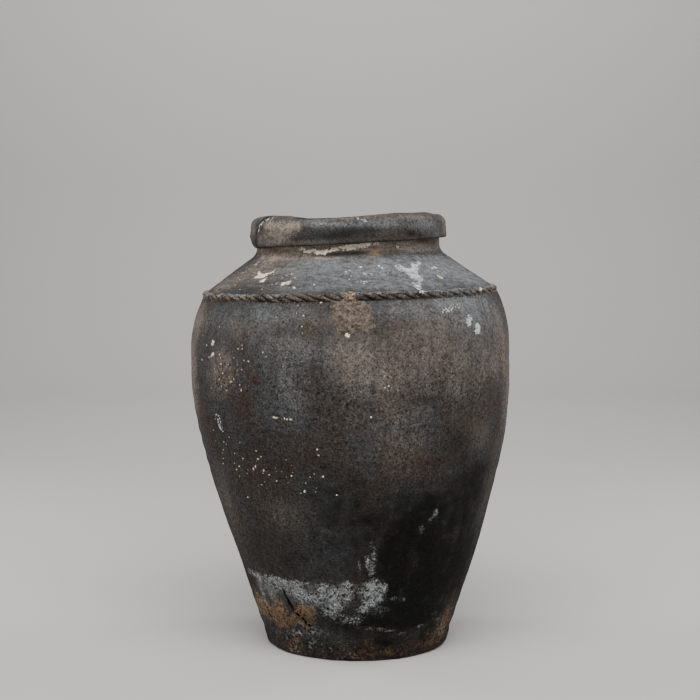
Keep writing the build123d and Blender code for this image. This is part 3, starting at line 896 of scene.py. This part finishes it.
# The thin bands at heights 894 and 896 are partly dust and partly a painted highlight along the strap's top
# edge
RIM_DUST = [(-45, 866, 40, 12, 0.7), (-75, 880, 30, 25, 0.7), (40, 894, 70, 5, 0.75), (0, 896, 60, 4, 0.75),
            (78, 878, 36, 26, 0.85), (-10, 884, 30, 6, 0.4), (60, 860, 30, 10, 0.4), (20, 866, 40, 6, 0.4),
            (-48, 858, 50, 14, 0.9), (-20, 850, 40, 6, 0.5)]
RIM_DAUB = [[(-54, 884, 14), (-29, 881, 13)]]
RIM_SOOT = [(-8, 862, 70, 12, 0.5), (8, 872, 50, 10, 0.4), (-30, 855, 40, 7, 0.4), (38, 862, 12, 9, 0.6),
            (25, 864, 60, 8, 0.3), (-55, 856, 14, 5, 0.4), (44, 859, 6, 6, 0.5)]
RIM_RUST = [(-50, 858, 30, 6, 0.6), (-66, 850, 10, 14, 0.9), (44, 855, 20, 6, 0.6), (-5, 890, 16, 4, 0.4)]
RIM_WASH = [(-20, 888, 40, 10, 0.5), (50, 880, 60, 16, 0.6), (22, 882, 50, 10, 0.5),
            (-62, 888, 12, 14, 0.5), (0, 884, 80, 9, 0.5)]
# White paint, and in the last line a painted highlight: the lit edge of the overlapping strap end, right of
# the lap's crack
RIM_PAINT_AND_HIGHLIGHT = [[(8.4, 890, 3), (9.2, 889, 3.2)], [(5.5, 894, 2), (6, 894, 2)],
             [(-14.5, 890, 1.2), (-14.5, 886, 0.8)],
             [(-50, 898, 0.4), (-57, 893, 1), (-60.5, 884, 0.7), (-62, 872, 0.2)]]


class PITHOS_OT_rim(bpy.types.Operator):
    """Model the strap round the neck, with its slanting lower edge and the lap of its two ends"""
    bl_idname = "pithos.rim"
    bl_label = "Rim strap"

    def execute(self, context):
        wall = Wall(context.scene.pithos_shape)
        hand = context.scene.pithos_hand
        piece = lathe("rim_strap_fired", self.section(wall))
        points = points_of(piece)
        azimuth, radius, z = places_of(points)
        s = wall.shape
        outside = radius > s["neck_radius"] + 2
        girth = s["neck_radius"] + s["rim_overhang"]
        # The lower edge slants, and rises again towards the free end of the strap
        across = np.clip((points[:, 0] / girth + 1) / 2, 0, 1)
        hang = smooth(wall.neck_top, wall.top - s["rim_left"], z)
        points[:, 2] += hang * across * (s["rim_left"] - s["rim_right"])
        begin, full, fade, gone = FREE_END_SPAN
        free_end = (1 - smooth(fade, gone, azimuth)) * smooth(begin, full, azimuth)
        points[:, 2] += hang * FREE_END_RISE * free_end
        # Both ends swell beside the crack between them, and hand marks cover the face
        side = np.radians(turned_back(azimuth - np.interp(z, *zip(*LAP)))) * girth
        side += 1.2 * cloud(points, 9, 30)
        crack = smooth(2 * LAP_WIDTH, 0.4 * LAP_WIDTH, np.abs(side))
        relief = 1.3 * cloud(points, 48, 31) + 0.8 * cloud(points, 20, 32) + 0.4 * cloud(points, 8, 33)
        relief += hand.grain / MM * cloud(points, 5, 34)
        relief += np.where(side > 0, 2.6 * np.exp(-(side / 26) ** 2), 2.2 * np.exp(-((side + 16) / 12) ** 2))
        sunk = LAP_DEPTH * crack + FREE_END_SINK * free_end * hang ** 3
        relief = np.where(outside, relief - sunk, 0.3 * relief)
        points += points_at(azimuth, relief, np.zeros(len(z)))
        # The top dips and rises along the front
        points[:, 2] += smooth(wall.neck_top - 6, wall.top, z) * np.interp(azimuth, *zip(*RIM_DIP))
        points[:, 2] += smooth(wall.neck_top, wall.top - 4, z) * 0.8 * cloud(points, 30, 35)
        points[:, 2] += hang * 1.2 * cloud(points, 14, 36) * outside
        self.paint(piece, wall, points, azimuth, z, outside, crack)
        set_points(piece, hand_built(points, wall, hand))
        smooth_shade(piece)
        seat(piece, "rim_band", fired_clay(context.scene.pithos_colours))
        return {"FINISHED"}

    def section(self, wall):
        """The strap in section: inner edge, rounded top, outer face, lower edge, and the seat on the neck."""
        s = wall.shape
        mouth, neck, top = s["mouth_radius"], s["neck_radius"], wall.top
        face = neck + s["rim_overhang"]
        foot = (face + s["rim_lip"], top - s["rim_left"])
        inner = (mouth, wall.neck_top)
        turn = (mouth + s["mouth_round"], top - s["mouth_round"])
        section = [inner, *along_line(inner, (mouth, turn[1]), 7)]
        section += along_arc(turn, s["mouth_round"], pi, pi / 2, 5)[1:]
        turn = (face - s["rim_round"], top - s["rim_round"])
        section += along_line(section[-1], (turn[0], top), 9)
        section += along_arc(turn, s["rim_round"], pi / 2, 0, 9)[1:]
        section += along_line(section[-1], (foot[0], foot[1] + 3), 24)
        section += [(foot[0] - 0.8, foot[1] + 0.9), (foot[0] - 3, foot[1])]
        section += along_line(section[-1], (neck, foot[1]), 4)
        section += along_line(section[-1], (neck, wall.neck_top), 8)
        return section + along_line(section[-1], inner, 6)

    def paint(self, piece, wall, points, azimuth, z, outside, crack):
        """Beige clay on the left, soot in front, dirt in the lap, a darker lower edge, dust and painted
        highlights on the top and by the lap.
        """
        strap = Strap(wall.shape["neck_radius"] + wall.shape["rim_overhang"])
        behind = smooth(80, 110, np.abs(azimuth))
        dust, soot, rust, wash = (oval_marks(strap, azimuth, z, marks)
                                  for marks in (RIM_DUST, RIM_SOOT, RIM_RUST, RIM_WASH))
        # The cover over the strap's top edge is partly dust and partly a painted highlight along the top
        top = smooth(wall.top - 8, wall.top - 1, z)
        # The strap's lower edge and underside are darkened with the rust colour
        under = (1 - smooth(wall.top - 62, wall.top - 55, z)) * outside
        throat = ~outside & (z < wall.top - 2)
        daub = sharp_marks(strap, azimuth + 0.3 * cloud(points, 8, 45), z, RIM_DAUB, 8)
        # White paint, and a painted highlight beside the lap's crack
        paint = sharp_marks(strap, azimuth + 0.4 * cloud(points, 8, 43), z + cloud(points, 8, 44), RIM_PAINT_AND_HIGHLIGHT)
        stains = {"dust": most(dust, 0.4 * top, behind * 0.7 * smooth(-0.2, 0.6, drift(points, 90, 41))),
                  "soot": most(soot, behind * 0.6 * smooth(0, 0.7, drift(points, 80, 42)), 0.5 * throat),
                  "rust": most(rust, 0.9 * smooth(0.1, 0.6, crack), 0.7 * under),
                  "wash": most(wash, 0.5 * behind), "daub": 0.38 * daub, "paint": paint,
                  "crack": 0.47 * crack, "rough": np.full(len(z), 0.22)}
        set_covers(piece, stains)


# The rope's round reaches this far past the wall's normals, in radians
ROPE_REACH = pi / 2 - 0.31
ROPE_BACK = 6                # the back, nearer to the rope's centre than this, isn't pressed
ROPE_FADE = 0.35             # radians over which the presses fade at both sides
LOBE_STEPS = 26        # columns in each lobe
LOBE_LEAN = 1.35             # lobes lean over further on the round of the rope
LOBE_APART = 31.7            # keeps lobes apart in a cloud, so that each has a value of its own
MORTAR_SPAN = 2.9            # mortar fills the grooves this many degrees to each side of the front
# Lime and paint smeared on the rope: azimuth, height and half width
ROPE_CREAM = [[(-59.5, 746, 1.6), (-57.6, 751, 2.2)], [(55.6, 746, 1.2), (57.6, 747, 1.4)]]
ROPE_PAINT = [[(25.4, 752, 2.8), (27.2, 750, 3.2)]]


class PITHOS_OT_rope(bpy.types.Operator):
    """Model the clay rope on the shoulder edge, its lobes pressed in by hand"""
    bl_idname = "pithos.rope"
    bl_label = "Rope moulding"

    def execute(self, context):
        wall = Wall(context.scene.pithos_shape)
        s = wall.shape
        radius, pitch, bed = s["rope_radius"], s["lobe_pitch"], s["rope_bed"]
        turn = atan2(wall.edge - s["band_high"], wall.turn_radius - (wall.belly - wall.edge_radius))
        cone = atan2(wall.cone_normal[1], wall.cone_normal[0])
        middle = (turn + cone) / 2
        centre = (wall.edge_radius - bed * cos(middle), wall.edge - bed * sin(middle))
        low, high = turn - ROPE_REACH, cone + ROPE_REACH
        section = along_arc(centre, radius, low, high, 24)
        section += along_line(section[-1], (wall.edge_radius, wall.edge), 3)
        section += along_line(section[-1], section[0], 3)
        girth = 2 * pi * (centre[0] + radius)
        piece = lathe("rope_moulding_fired", section, round(girth / pitch) * LOBE_STEPS)
        points = points_of(piece)
        azimuth, distance, z = places_of(points)
        out, up = distance - centre[0], z - centre[1]
        size = np.maximum(np.hypot(out, up), 1e-6)
        angle = np.arctan2(up, out)
        front = smooth(low, low + ROPE_FADE, angle) * (1 - smooth(high - ROPE_FADE, high, angle))
        front *= size > ROPE_BACK
        # Each lobe has a number, and a part from -0.5 to 0.5 across it
        climb = radius * (angle - (low + high) / 2) * np.tan(wall.lay_angle) * LOBE_LEAN
        turns = (np.radians(azimuth) * girth / (2 * pi) + climb) / pitch
        turns += 0.22 * cloud(points, 45, 51) + 0.08 * cloud(points, 8, 50)
        lobe = np.floor(turns)
        part = turns - lobe - 0.5
        lobe = np.column_stack([lobe * LOBE_APART, lobe * 0, lobe * 0])
        # Worn in places and at both sides, pressed deeper below than above, and clogged behind the mortar
        sides = smooth(52, 76, np.abs(azimuth)) * (1 - smooth(98, 118, np.abs(azimuth)))
        wear = most(0.8 * smooth(0.2, 0.9, cloud(points, 90, 53)), sides)
        below = 1 - smooth(-7, 3, up)
        above = smooth(2, 8, up)
        press = s["groove_depth"] * (0.85 + 0.35 * cloud(lobe, 20, 52)) * (1 - 0.5 * wear)
        press *= 1 + 0.4 * below - 0.5 * above
        groove = np.exp(-((0.5 - np.abs(part)) / (0.19 + 0.14 * below)) ** 2)
        mortar = np.exp(-(azimuth / MORTAR_SPAN) ** 4)
        relief = -press * groove * (1 - 0.8 * mortar) - 3.5 * wear
        relief += (0.8 + 1.1 * cloud(lobe, 20, 54)) * (1 - 4 * part ** 2)
        relief += 1.0 * cloud(points, 9, 55) + 0.7 * cloud(points, 4.5, 56) + 1.2 * mortar
        relief *= front
        points[:, :2] *= (1 + relief * out / size / distance)[:, None]
        points[:, 2] += relief * up / size
        limed = np.exp(-((azimuth - 42) / 15) ** 2)
        clean = (1 - mortar) * (1 - 0.45 * limed)
        wash = 0.7 * above * (0.6 + 0.5 * cloud(points, 50, 58))
        strap = Strap(centre[0])
        # The soot in the grooves and along the rope's underside is partly dirt and partly painted shade, in
        # the creases between lobes and under the rope
        stains = {"dust": most(0.4 + 0.4 * cloud(points, 60, 57) + 0.3 * wear, mortar),
                  "wash": most(wash, 0.5 * limed) * (1 - mortar),
                  "soot": most(0.55 * smooth(0.3, 0.9, groove), 0.45 * below) * clean * (1 - 0.6 * wear),
                  "rust": (0.4 + 0.4 * cloud(points, 70, 59)) * clean * (1 - 0.7 * wear),
                  "ochre": 0.45 * mortar,
                  "cream": sharp_marks(strap, azimuth, z, ROPE_CREAM, 5),
                  "paint": sharp_marks(strap, azimuth, z, ROPE_PAINT, 9),
                  "rough": np.ones(len(z))}
        set_covers(piece, stains)
        set_points(piece, hand_built(points, wall, context.scene.pithos_hand))
        smooth_shade(piece, 60)
        clay = fired_clay(context.scene.pithos_colours, "rope_earthenware", 0.08)
        seat(piece, "rope_moulding", clay)
        return {"FINISHED"}


PATCH_CELLS = 140
PATCH_SHEET = 1.16           # the sheet that the splash is cut from is this much larger
PATCH_BED = 0.8              # how far its back is sunk in the wall
PATCH_BRINK = 0.5            # thickness at its edge
# Edge of the mortar splash as shares of its width and height, from the top, round to the left
PATCH_EDGE = [(-0.10, 0.55), (-0.30, 0.55), (-0.49, 0.55), (-0.40, 0.45), (-0.50, 0.34), (-0.42, 0.26),
              (-0.52, 0.18), (-0.42, 0.08), (-0.45, 0.00), (-0.36, -0.10), (-0.37, -0.20), (-0.30, -0.30),
              (-0.29, -0.40), (-0.20, -0.51), (-0.10, -0.40), (0.02, -0.44), (0.12, -0.38), (0.33, -0.41),
              (0.50, -0.25), (0.44, -0.12), (0.47, 0.02), (0.42, 0.16), (0.45, 0.30), (0.36, 0.40),
              (0.30, 0.52), (0.05, 0.55)]


class PITHOS_OT_mortar_patch(bpy.types.Operator):
    """Model the splash of dried mortar under the rope"""
    bl_idname = "pithos.mortar_patch"
    bl_label = "Mortar patch"

    def execute(self, context):
        wall = Wall(context.scene.pithos_shape)
        s = wall.shape
        low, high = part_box("clay_patch")
        middle = ((low.x + high.x) / 2 / MM, (low.z + high.z) / 2 / MM)
        piece = self.cut_sheet(s)
        grid = points_of(piece) * MM
        outer = grid[:, 2] > 0.5
        flat = grid[:, :2] * PATCH_SHEET
        height = np.where(outer, np.maximum(self.depth(flat, s), PATCH_BRINK), -PATCH_BED)
        x = middle[0] + flat[:, 0] * s["patch_width"]
        z = middle[1] + flat[:, 1] * s["patch_height"]
        out, up = wall.normal(z)
        azimuth = np.degrees(x / wall.radius(middle[1]))
        points = points_at(azimuth, wall.radius(z) + height * out, z + height * up)
        set_points(piece, hand_built(points, wall, context.scene.pithos_hand))
        bpy.ops.object.mode_set(mode="EDIT")
        bpy.ops.mesh.select_all(action="SELECT")
        bpy.ops.mesh.normals_make_consistent(inside=False)
        bpy.ops.object.mode_set(mode="OBJECT")
        smooth_shade(piece, 70)
        seat(piece, "clay_patch", dried_mortar(context.scene.pithos_colours))
        return {"FINISHED"}

    def cut_sheet(self, s):
        """A flat sheet, one unit wide, cut to the splash's edge and closed by a second face above it."""
        bpy.ops.object.select_all(action="DESELECT")
        bpy.ops.mesh.primitive_grid_add(x_subdivisions=PATCH_CELLS, y_subdivisions=PATCH_CELLS, size=1)
        piece = bpy.context.object
        piece.name = piece.data.name = "mortar_patch"
        keep = self.depth(points_of(piece)[:, :2] * MM * PATCH_SHEET, s) > 0
        bpy.ops.object.mode_set(mode="EDIT")
        bpy.ops.mesh.select_mode(type="FACE")
        bpy.ops.mesh.select_all(action="DESELECT")
        bpy.ops.object.mode_set(mode="OBJECT")
        faces = piece.data.polygons
        faces.foreach_set("select", [not keep[list(face.vertices)].all() for face in faces])
        bpy.ops.object.mode_set(mode="EDIT")
        bpy.ops.mesh.delete(type="FACE")
        bpy.ops.mesh.select_all(action="SELECT")
        bpy.ops.mesh.extrude_region_move(TRANSFORM_OT_translate={"value": (0, 0, 1)})
        bpy.ops.object.mode_set(mode="OBJECT")
        return piece

    def depth(self, flat, s):
        """Thickness in millimetres at places given as shares of the splash's size; below 0 is outside it."""
        edge = np.array(PATCH_EDGE) * (s["patch_width"], s["patch_height"])
        here = flat * (s["patch_width"], s["patch_height"])
        gap = np.full(len(here), 1e9)
        within = np.zeros(len(here), bool)
        for start, end in zip(edge, np.roll(edge, -1, axis=0)):
            run = end - start
            share = np.clip((here - start) @ run / (run @ run), 0, 1)
            gap = np.minimum(gap, np.linalg.norm(here - start - share[:, None] * run, axis=1))
            crosses = (start[1] > here[:, 1]) != (end[1] > here[:, 1])
            at = start[0] + (here[:, 1] - start[1]) / (run[1] if run[1] else 1e-9) * run[0]
            within ^= crosses & (here[:, 0] < at)
        spread = np.column_stack([here, np.zeros(len(here))])
        gap = np.where(within, gap, -gap) + 1.6 * cloud(spread, 7, 61) + 0.8 * cloud(spread, 3, 62)
        swell = s["patch_thickness"] * (0.55 + 0.30 * cloud(spread, 14, 63) + 0.22 * cloud(spread, 5, 64))
        return np.where(gap > 0, PATCH_BRINK + swell * smooth(0, 7, gap), -1.0)


CAMERA_PLACE = (-0.006, -3.2627, 0.8678)
CAMERA_DIP = 4.37            # degrees below level
CAMERA_LENS = 79.4
CAMERA_SENSOR = 36
FLOOR_REACH = 5.0
BACKDROP_BEND = 1.2
AMBIENT = 0.12               # even light from all round
# Lamps: name, place, aim, width and height in metres, and power in watts
SOFTBOXES = [("key_softbox", (0.0, -1.8, 3.2), (0, 0, 0.55), (3.0, 2.0), 128),
             ("front_softbox", (0.4, -4.6, 1.5), (0, 0, 0.6), (3.0, 2.0), 28),
             ("left_softbox", (-2.6, 1.1, 1.5), (0, 0, 0.5), (1.0, 2.2), 34),
             ("right_softbox", (2.6, 1.1, 1.5), (0, 0, 0.5), (1.0, 2.2), 34),
             ("backdrop_softbox", (0.0, 3.2, 4.4), (0, 6.2, 1.4), (5.0, 1.2), 130)]


class PITHOS_OT_stage(bpy.types.Operator):
    """Add the pale floor and backdrop, the soft lights and the camera"""
    bl_idname = "pithos.stage"
    bl_label = "Stage"

    def execute(self, context):
        self.floor(context)
        for softbox in SOFTBOXES:
            self.softbox(*softbox)
        world = context.scene.world or bpy.data.worlds.new("studio")
        context.scene.world = world
        world.use_nodes = True
        background = world.node_tree.nodes["Background"]
        wire(world.node_tree, background, {"Color": (1, 1, 1, 1), "Strength": AMBIENT})
        bpy.ops.object.camera_add(location=CAMERA_PLACE, rotation=(radians(90 - CAMERA_DIP), 0, 0))
        camera = context.object
        camera.name = "photo_camera"
        camera.data.lens = CAMERA_LENS
        camera.data.sensor_width = CAMERA_SENSOR
        context.scene.camera = camera
        return {"FINISHED"}

    def floor(self, context):
        """A sheet that runs out behind the jar and curves up into the backdrop."""
        bpy.ops.object.select_all(action="DESELECT")
        bpy.ops.mesh.primitive_plane_add(size=2 * FLOOR_REACH, enter_editmode=True)
        bpy.ops.mesh.select_all(action="DESELECT")
        bpy.ops.object.mode_set(mode="OBJECT")
        sheet = context.object
        sheet.name = "pale_floor"
        for edge in sheet.data.edges:
            edge.select = all(sheet.data.vertices[v].co.y > 0 for v in edge.vertices)
        bpy.ops.object.mode_set(mode="EDIT")
        bpy.ops.mesh.select_mode(type="EDGE")
        bend = along_arc((0, BACKDROP_BEND), BACKDROP_BEND, -pi / 2, 0, 12)
        bend.append((BACKDROP_BEND, BACKDROP_BEND + FLOOR_REACH))
        for (y0, z0), (y1, z1) in zip(bend, bend[1:]):
            bpy.ops.mesh.extrude_region_move(TRANSFORM_OT_translate={"value": (0, y1 - y0, z1 - z0)})
        bpy.ops.object.mode_set(mode="OBJECT")
        bpy.ops.object.shade_smooth()
        sheet.data.materials.append(self.paper(context.scene.pithos_colours))

    def paper(self, colours):
        """Matt backdrop paper: even and pale.

        Its tooth is under 1 mm, and is drawn 4 mm wide so that it shows.
        """
        material, tree, shader, place = blank("backdrop_paper")
        tooth = add(tree, "TexNoise", {"Vector": place, "Scale": per(4), "Detail": 3})
        bump = add(tree, "Bump", {"Height": tooth, "Strength": 0.1, "Distance": 0.2 * MM})
        wire(tree, shader, {"Base Color": rgba(colours.floor), "Normal": bump, "Roughness": 0.9})
        return material

    def softbox(self, name, place, aim, size, power):
        """A large diffused lamp turned to what it lights."""
        bpy.ops.object.light_add(type="AREA", location=place)
        lamp = bpy.context.object
        lamp.name = name
        lamp.data.shape = "RECTANGLE"
        lamp.data.size, lamp.data.size_y = size
        lamp.data.energy = power
        run = [a - p for a, p in zip(aim, place)]
        lamp.rotation_euler = (atan2(hypot(run[0], run[1]), -run[2]), 0, atan2(run[1], run[0]) - pi / 2)


class PITHOS_PT_panel(bpy.types.Panel):
    """Lists the pieces of the jar with their sizes and colours"""
    bl_idname = "PITHOS_PT_panel"
    bl_label = "Pithos"
    bl_space_type = "VIEW_3D"
    bl_region_type = "UI"
    bl_category = "Pithos"

    def draw(self, context):
        for operator in OPERATORS:
            self.layout.operator(operator.bl_idname)
        for group in (context.scene.pithos_shape, context.scene.pithos_hand, context.scene.pithos_colours):
            box = self.layout.box()
            for key in group.__annotations__:
                box.prop(group, key)


OPERATORS = [PITHOS_OT_base_slab, PITHOS_OT_wall_rings, PITHOS_OT_rim, PITHOS_OT_rope,
             PITHOS_OT_mortar_patch, PITHOS_OT_stage]
CLASSES = [PithosShape, PithosHand, PithosColours, *OPERATORS, PITHOS_PT_panel]


def register():
    for item in CLASSES:
        bpy.utils.register_class(item)
    bpy.types.Scene.pithos_shape = bpy.props.PointerProperty(type=PithosShape)
    bpy.types.Scene.pithos_hand = bpy.props.PointerProperty(type=PithosHand)
    bpy.types.Scene.pithos_colours = bpy.props.PointerProperty(type=PithosColours)


def unregister():
    del bpy.types.Scene.pithos_shape
    del bpy.types.Scene.pithos_hand
    del bpy.types.Scene.pithos_colours
    for item in reversed(CLASSES):
        bpy.utils.unregister_class(item)


def main():
    register()
    bpy.ops.pithos.base_slab()
    bpy.ops.pithos.wall_rings()
    bpy.ops.pithos.rim()
    bpy.ops.pithos.rope()
    bpy.ops.pithos.mortar_patch()
    bpy.ops.pithos.stage()


if __name__ == "__main__":
    main()
